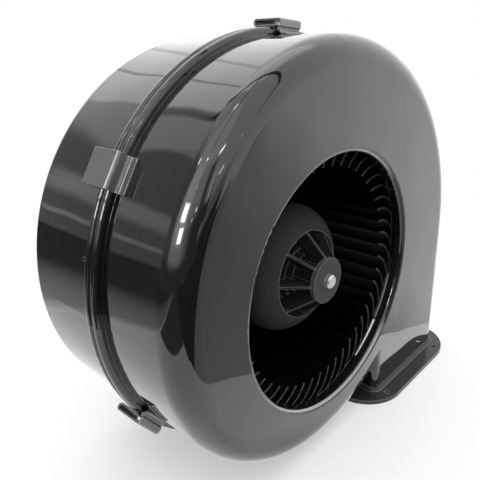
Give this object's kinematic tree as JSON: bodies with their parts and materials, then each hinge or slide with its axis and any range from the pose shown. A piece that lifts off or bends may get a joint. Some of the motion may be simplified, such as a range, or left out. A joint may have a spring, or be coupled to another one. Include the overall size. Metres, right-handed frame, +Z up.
{
  "type": "centrifugal scroll blower",
  "caption": "Single inlet centrifugal scroll blower with its brushed motor: clipped two piece housing, forward curved wheel on the motor shaft, flanged outlet facing down.",
  "frame": {"origin": "centre of the four screw holes on the underside of the outlet flange", "axes": "+Z up from the flange, +Y along the fan axis from the inlet to the motor, +X to the right as seen from the inlet"},
  "size_m": [0.2693, 0.159, 0.243],
  "materials": {
    "housing_plastic": "gloss",
    "flange_plastic": "gloss",
    "clip_steel": "satin",
    "can_steel": "satin",
    "ferrite": "matte",
    "zinc_steel": "satin",
    "rubber": "matte",
    "cap_plastic": "matte",
    "board": "matte",
    "brass": "satin",
    "carbon": "matte",
    "spring_steel": "satin",
    "bronze": "matte",
    "wheel_plastic": "satin",
    "shaft_steel": "bright",
    "lamination": "satin",
    "copper": "satin"
  },
  "bodies": {
    "housing": {"front_scroll_half": "housing_plastic", "rear_scroll_half": "housing_plastic", "outlet_flange": "flange_plastic", "clip_top": "clip_steel", "clip_left": "clip_steel", "clip_low_left": "clip_steel", "clip_right": "clip_steel", "clip_outlet": "clip_steel", "motor_can": "can_steel", "field_magnets": "ferrite", "motor_flange": "zinc_steel", "motor_gasket": "rubber", "motor_screws": "zinc_steel", "end_cap": "cap_plastic", "brush_card": "board", "brush_holders": "brass", "carbon_brushes": "carbon", "brush_springs": "spring_steel", "front_bush": "bronze", "rear_bush": "bronze", "through_bolts": "zinc_steel", "terminal_socket": "cap_plastic", "terminal_blades": "brass"},
    "rotor": {"blower_wheel": "wheel_plastic", "motor_shaft": "shaft_steel", "armature_core": "lamination", "armature_winding": "copper", "commutator": "copper", "thrust_washers": "board"}
  },
  "joints": [
    {"name": "fan_spin", "type": "hinge", "parent": "housing", "child": "rotor", "pos_m": [-0.089, 0, 0.104], "axis": [0, 1, 0], "continuous": true}
  ]
}
